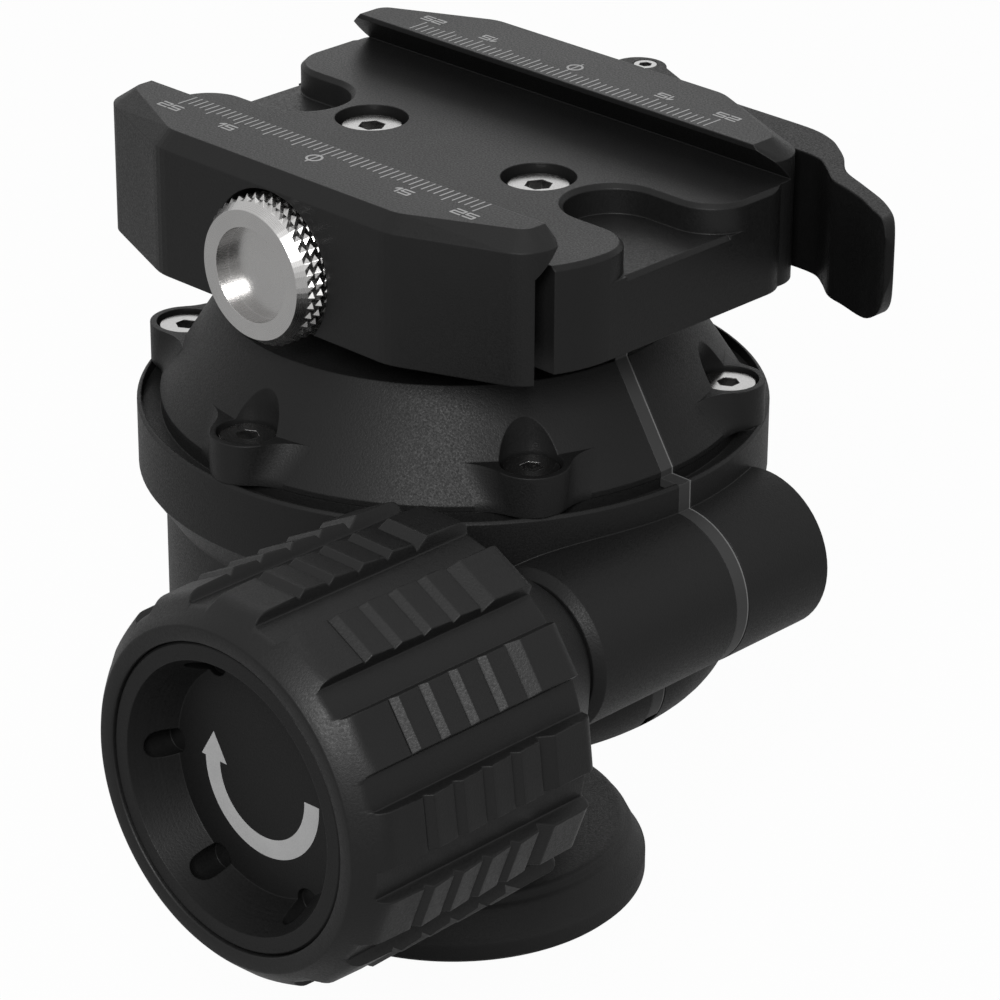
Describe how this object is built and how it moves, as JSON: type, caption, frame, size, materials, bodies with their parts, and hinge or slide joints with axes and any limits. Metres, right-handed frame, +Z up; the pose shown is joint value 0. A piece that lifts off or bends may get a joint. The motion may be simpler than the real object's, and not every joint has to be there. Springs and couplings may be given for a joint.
{
  "type": "ball head",
  "caption": "Black ball head with a fixed stem and ball, a large rubber side lock knob and a lever dovetail clamp on top",
  "frame": {"origin": "centre of the tapped tripod hole's mouth, in the underside of the base disc", "axes": "+Z up along the stem; +X along the clamp's channel, toward the lock barrel; the lock knob and thumb knob are on the -Y side and the lever on the +Y side"},
  "size_m": [0.1018, 0.1139, 0.105],
  "materials": {
    "black_anodised": "black anodised aluminium, fine matte grain",
    "hard_anodised": "hard anodised, smooth",
    "steel": "stainless steel",
    "bright_steel": "bright turned and knurled steel",
    "rubber": "matte black rubber",
    "seat_plastic": "low-friction plastic",
    "bronze": "plain bearing bronze"
  },
  "bodies": {
    "base": {"base_plate": "black_anodised", "base_screws": "steel", "thread_insert": "steel", "ball_stem": "black_anodised", "ball": "hard_anodised", "ball_bolt": "steel"},
    "stem_bumper": {"stem_ring": "rubber"},
    "ball_seats": {"lower_seat": "seat_plastic", "upper_seat": "seat_plastic", "seat_spring": "steel"},
    "head": {"housing": "black_anodised", "dome": "black_anodised", "dome_screws": "steel", "index_strip": "black_anodised", "barrel_plug": "black_anodised", "shaft_bush": "bronze", "clamp_base": "black_anodised", "clamp_screws": "steel", "cam_shoe": "seat_plastic"},
    "lock_knob": {"lock_shaft": "steel", "shaft_clip": "steel", "thrust_washer": "seat_plastic", "knob_core": "black_anodised", "knob_grip": "rubber", "knob_cap": "black_anodised", "knob_screw": "steel"},
    "wedge": {"lock_wedge": "bronze"},
    "shoe": {"lock_shoe": "seat_plastic"},
    "bolt": {"draw_bolt": "steel"},
    "lever_arm": {"lever": "black_anodised", "lever_pin": "steel"},
    "jaw": {"moving_jaw": "black_anodised", "guide_pins": "steel", "thumb_washer": "seat_plastic"},
    "thumb": {"thumb_knob": "bright_steel"}
  },
  "joints": [
    {"name": "pan", "type": "hinge", "parent": "base", "child": "stem_bumper", "pos_m": [0, 0, 0.0546], "axis": [0, 0, 1], "continuous": true},
    {"name": "tilt", "type": "hinge", "parent": "stem_bumper", "child": "ball_seats", "pos_m": [0, 0, 0.0546], "axis": [0, 1, 0], "range_deg": [-32, 32]},
    {"name": "turn", "type": "hinge", "parent": "ball_seats", "child": "head", "pos_m": [0, 0, 0.0546], "axis": [0, 0, 1], "continuous": true},
    {"name": "knob_turn", "type": "hinge", "parent": "head", "child": "lock_knob", "pos_m": [0.03875, -0.05, 0.0546], "axis": [0, 1, 0], "range_deg": [-360, 0]},
    {"name": "wedge_slide", "type": "slide", "parent": "head", "child": "wedge", "axis": [0, 1, 0], "range_m": [0, 0.00151]},
    {"name": "shoe_slide", "type": "slide", "parent": "head", "child": "shoe", "axis": [1, 0, 0], "range_m": [0, 0.000213]},
    {"name": "bolt_slide", "type": "slide", "parent": "head", "child": "bolt", "axis": [0, 1, 0], "range_m": [-0.0013, 0]},
    {"name": "lever_swing", "type": "hinge", "parent": "bolt", "child": "lever_arm", "pos_m": [0, 0.0343, 0.095], "axis": [0, 0, 1], "range_deg": [0, 110]},
    {"name": "jaw_slide", "type": "slide", "parent": "bolt", "child": "jaw", "axis": [0, 1, 0], "range_m": [-0.0008, 0.003]},
    {"name": "thumb_turn", "type": "hinge", "parent": "jaw", "child": "thumb", "pos_m": [0, -0.03, 0.0932], "axis": [0, 1, 0], "range_deg": [-361, 1351]}
  ],
  "couplings": [
    {"joint": "wedge_slide", "follows": "knob_turn", "m_per_rad": -0.00023873},
    {"joint": "shoe_slide", "follows": "knob_turn", "m_per_rad": -0.000033552},
    {"joint": "lever_swing", "follows": "bolt_slide", "rad_per_m": -1476},
    {"joint": "thumb_turn", "follows": "jaw_slide", "rad_per_m": 7854}
  ]
}
